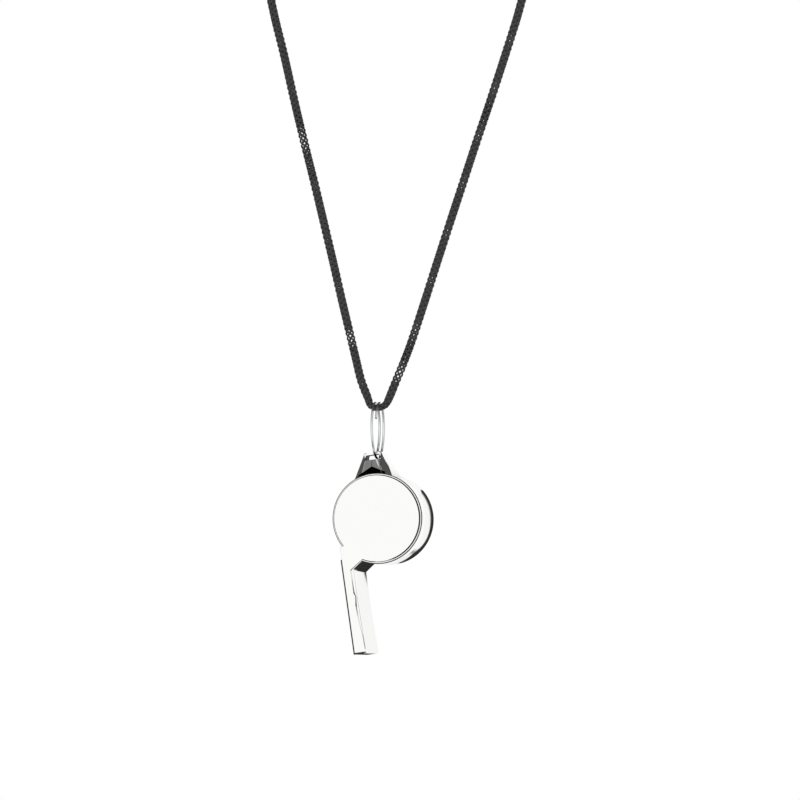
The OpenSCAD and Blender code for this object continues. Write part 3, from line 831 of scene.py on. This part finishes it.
def make_bracket():
    """The folded hood: round hips, ends closed by flaps with a seam, a V gap and the tunnel."""
    t = BRACKET_T
    # The barrel's own waisted form cuts the hood's foot.
    drum = bmesh.new()
    along = (-20, *range(-8, -1), *range(2, 9), 20)
    stations = [(y, BARREL_R + SOLDER_GAP - waist(y)) for y in along]
    edge = [drum.verts.new((0, y, r))
            for y, r in [(along[0], DRUM_INNER)] + stations + [(along[-1], DRUM_INNER)]]
    lines = [drum.edges.new(pair) for pair in zip(edge, edge[1:] + edge[:1])]
    bmesh.ops.spin(drum, geom=edge + lines, cent=(0, 0, 0), axis=(0, 1, 0), dvec=(0, 0, 0),
                   angle=2 * math.pi, steps=DRUM_STEPS, use_merge=True)
    k, foot = hood_half(t, BRACKET_TOP - t)[0], hood_half(t, FLAP_TOP)[0]
    under = BRACKET_TOP - t
    tunnel = prism([(-k, under), (k, under), (foot, FLAP_TOP), (-foot, FLAP_TOP)], PAST)
    # The gap is cut under the near flaps only, so that it shows the hood's inside with its painted
    # shade.
    gap = prism([(0, GAP_APEX), (GAP_HALF, BARREL_R), (GAP_HALF, 5), (-GAP_HALF, 5),
                 (-GAP_HALF, BARREL_R)], PAST)
    bmesh.ops.translate(gap, vec=(0, -PAST, 0), verts=gap.verts)
    g, seam_top = SEAM_HALF, under - 0.1
    seam = prism([(-g, BARREL_R), (g, BARREL_R), (g, seam_top), (-g, seam_top)], PAST)
    ends = []
    reach, half = 5, 2.1
    for side in (-1, 1):
        end = prism([(-half, FLAP_TOP), (half, FLAP_TOP), (half, OVER), (-half, OVER)], reach)
        bmesh.ops.translate(end, vec=(0, side * (ROOF_HALF[1] + reach), 0), verts=end.verts)
        ends.append(("DIFFERENCE", end))
    inside = prism(tent_outline(t, BEND_R - t), FAR_PAST)
    hollow = carve(hipped(t, HOLLOW_LOW), [("INTERSECT", inside)])
    bm = carve(hipped(0, BLOCK_LOW), [
        ("INTERSECT", prism(tent_outline(0, BEND_R), FAR_PAST)), ("DIFFERENCE", gap),
        ("DIFFERENCE", seam), ("DIFFERENCE", tunnel), *ends,
        ("DIFFERENCE", hollow), ("DIFFERENCE", drum)])
    bmesh.ops.recalc_face_normals(bm, faces=bm.faces)
    # The inner faces, which look towards the hood's middle, get the painted shade, but not the
    # gap's slants.
    for face in bm.faces:
        c, n = face.calc_center_median(), face.normal
        slant = abs(n.y) < 0.05 and -0.95 < n.z < -0.7
        if n.dot(c - Vector((0, 0, MIDDLE_W))) < 0 and not slant:
            face.material_index = 1
    shade(bm, 32)
    obj = hung_piece("tail_bracket_hood", bm, chrome, ["tail_bracket"])
    soft = obj.modifiers.new("edges", "BEVEL")
    soft.width = SOFT_EDGE * MM
    soft.segments = 2
    soft.limit_method = "ANGLE"
    soft.angle_limit = math.radians(35)
    soft.harden_normals = True


make_bracket()


# ---------------------------------------------------------------- split ring
RING_STEPS = 280
RADIAN = 57.296    # in degrees


def make_ring():
    """The wire: one round section carried round a turn and a half, a pitch apart, with cut ends."""
    bm = bmesh.new()
    bmesh.ops.create_circle(bm, cap_ends=True, segments=20, radius=WIRE_R)
    a = math.radians(RING_FROM)
    climb = -RING_PITCH / 360 * RADIAN
    way = Vector((climb, RING_R * math.cos(a), -RING_R * math.sin(a))).normalized()
    x = RING_AT.x - RING_PITCH * (RING_FROM - 180) / 360
    place = Matrix.Translation((x, RING_R * math.sin(a), RING_AT.z + RING_R * math.cos(a)))
    facing = way.to_track_quat("Z", "Y").to_matrix().to_4x4()
    bmesh.ops.transform(bm, matrix=place @ facing, verts=bm.verts)
    travel = -RING_PITCH * (RING_TO - RING_FROM) / 360
    bmesh.ops.spin(bm, geom=bm.verts[:] + bm.edges[:] + bm.faces[:], cent=RING_AT, axis=(1, 0, 0),
                   dvec=(travel / RING_STEPS, 0, 0), angle=-math.radians(RING_TO - RING_FROM),
                   steps=RING_STEPS, use_merge=False)
    bmesh.ops.recalc_face_normals(bm, faces=bm.faces)
    shade(bm, 50)
    hung_piece("split_ring_wire", bm, plated_wire, ["split_ring"], "ring",
               Matrix.Scale(MM, 4))


make_ring()


# ---------------------------------------------------------------- cork pea
def make_pea():
    """The cork ball, loose in the chamber."""
    low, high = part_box("cork_pea")
    bm = bmesh.new()
    bmesh.ops.create_icosphere(bm, subdivisions=5, radius=(high.x - low.x) / 2 / MM)
    for face in bm.faces:
        face.smooth = True
    hung_piece("cork_ball", bm, cork, ["cork_pea"], "pea",
               Matrix.Translation((low + high) / 2) @ Matrix.Scale(MM, 4))


make_pea()

# The windway's floor keeps its CAD shape.
nodes["windway_floor"].data.materials.clear()
nodes["windway_floor"].data.materials.append(chrome)

# ---------------------------------------------------------------- studio, in metres
FLOOR_Z, FLOOR_HALF = -0.30, 6
WORLD_LEVEL = 0.6


def looked_at(tree):
    """1 where a camera, a mirror or glass looks, 0 for the light that falls on things."""
    path = add(tree, "LightPath")
    seen = path.outputs["Is Camera Ray"]
    for kind in ("Is Glossy Ray", "Is Transmission Ray"):
        seen = add(tree, "Math", {0: seen, 1: path.outputs[kind]}, operation="MAXIMUM").outputs[0]
    return seen


def white_where_seen(tree, lit, reach):
    """The lit shader, turned white where it is looked at, by the share in reach."""
    amount = add(tree, "Math", {0: looked_at(tree), 1: reach}, operation="MULTIPLY")
    white = add(tree, "Emission", {"Color": (1, 1, 1, 1), "Strength": 1.0})
    return add(tree, "MixShader", {0: amount.outputs[0], 1: lit, 2: white.outputs[0]})


# Matt white paper: it keeps the whistle's shadow close by and goes on as plain white further out.
floor_material, tree = new_material("matt_white_floor")
lit = add(tree, "BsdfDiffuse", {"Color": rgb("#F4F4F4")})
spot = add(tree, "TexCoord").outputs["Object"]
away = add(tree, "VectorMath", {0: spot}, operation="LENGTH")
reach = add(tree, "MapRange", {"Value": away.outputs["Value"], "From Min": 0.3, "From Max": 1.0,
                               "To Min": 0.55, "To Max": 1.0}, interpolation_type="SMOOTHSTEP")
surface(tree, white_where_seen(tree, lit.outputs[0], reach.outputs[0]).outputs[0])

bm = bmesh.new()
bmesh.ops.create_grid(bm, x_segments=1, y_segments=1, size=FLOOR_HALF)
bmesh.ops.translate(bm, vec=(0, 0, FLOOR_Z), verts=bm.verts)
floor = new_object("floor", bm)
floor.data.materials.append(floor_material)
floor.visible_glossy = False

world = bpy.data.worlds.new("studio")
SCENE.world = world
world.use_nodes = True
tree = world.node_tree
tree.nodes.clear()
level = add(tree, "MapRange", {
    "Value": looked_at(tree), "To Min": WORLD_LEVEL, "To Max": 1.0})
sky = add(tree, "Background", {"Color": (1, 1, 1, 1), "Strength": level.outputs[0]})
add(tree, "OutputWorld", {"Surface": sky.outputs[0]})

# One square soft box in front, facing the whistle. BOX_LEVEL is its brightness, where 1 is white.
BOX_AT, BOX_SIZE, BOX_LEVEL = Vector((-0.35, -1.9, -0.1)), 1.4, 1.25
box_data = bpy.data.lights.new("front_box", "AREA")
box_data.shape = "SQUARE"
box_data.size = BOX_SIZE
box_data.energy = BOX_LEVEL * math.pi * BOX_SIZE * BOX_SIZE
box = bpy.data.objects.new("front_box", box_data)
box.location = BOX_AT
box.rotation_euler = (BOX_AT - BARREL_AT * MM).to_track_quat("Z", "Y").to_euler()
box.visible_glossy = False
SCENE.collection.objects.link(box)


def toward(az, el):
    """A direction from the whistle: az turns from straight behind it to the right, el goes up."""
    az, el = math.radians(az), math.radians(el)
    return Vector((math.sin(az) * math.cos(el), math.cos(az) * math.cos(el), math.sin(el)))


# The paper tent that the metal mirrors: pale, with darker and brighter panels laid on in this
# order. Each panel: its middle (az, el), the angle it fills, the angle where it has faded out,
# its level.
TENT_LEVEL, TENT_R = 0.85, 0.6
PANELS = [
    ((0, -90), 35, 60, 0.35),       # straight below
    ((6, 56), 38, 46, 0.1),         # behind, high up
    ((-58, 25), 36, 42, 0.1),       # behind on the left, raised
    ((-94, 76), 9, 15, 0.27),       # almost overhead
    ((4, 0.5), 21.5, 30, 0.03),     # straight behind: the band and the fillet mirror it, dark
    ((-22, -4), 16, 18, 0.95),      # five pale cards that leave only its margins dark
    ((-7, 17), 11.6, 12.6, 1.1),
    ((-6, 0), 11.5, 12.6, 0.97),
    ((3.2, 0.8), 8.6, 13.4, 1.1),
    ((6, -3.5), 7.2, 9.2, 1.1),
    ((-170, 0), 30, 44, 1.3),       # in front: the flat near face mirrors it
]
tent_material, tree = new_material("paper_tent")
spot = add(tree, "TexCoord").outputs["Object"]
centred = add(tree, "VectorMath", {0: spot, 1: BARREL_AT * MM}, operation="SUBTRACT")
way = add(tree, "VectorMath", {0: centred.outputs[0]}, operation="NORMALIZE").outputs[0]
level = TENT_LEVEL
for (az, el), full, gone, value in PANELS:
    near_it = add(tree, "VectorMath", {0: way, 1: toward(az, el)}, operation="DOT_PRODUCT")
    angle = add(tree, "Math", {0: near_it.outputs["Value"]}, operation="ARCCOSINE")
    mask = add(tree, "MapRange", {
        "Value": angle.outputs[0], "From Min": math.radians(full), "From Max": math.radians(gone),
        "To Min": 1.0, "To Max": 0.0}, interpolation_type="SMOOTHSTEP")
    level = add(tree, "Mix", {0: mask.outputs[0], 2: level, 3: value}).outputs[0]
glow = add(tree, "Emission", {"Color": (1, 1, 1, 1), "Strength": level})
surface(tree, glow.outputs[0])
bm = bmesh.new()
bmesh.ops.create_icosphere(bm, subdivisions=5, radius=TENT_R)
bmesh.ops.translate(bm, vec=BARREL_AT * MM, verts=bm.verts)
tent = new_object("tent", bm)
tent.data.materials.append(tent_material)
for kind in ("camera", "diffuse", "transmission", "volume_scatter", "shadow"):
    setattr(tent, "visible_" + kind, False)
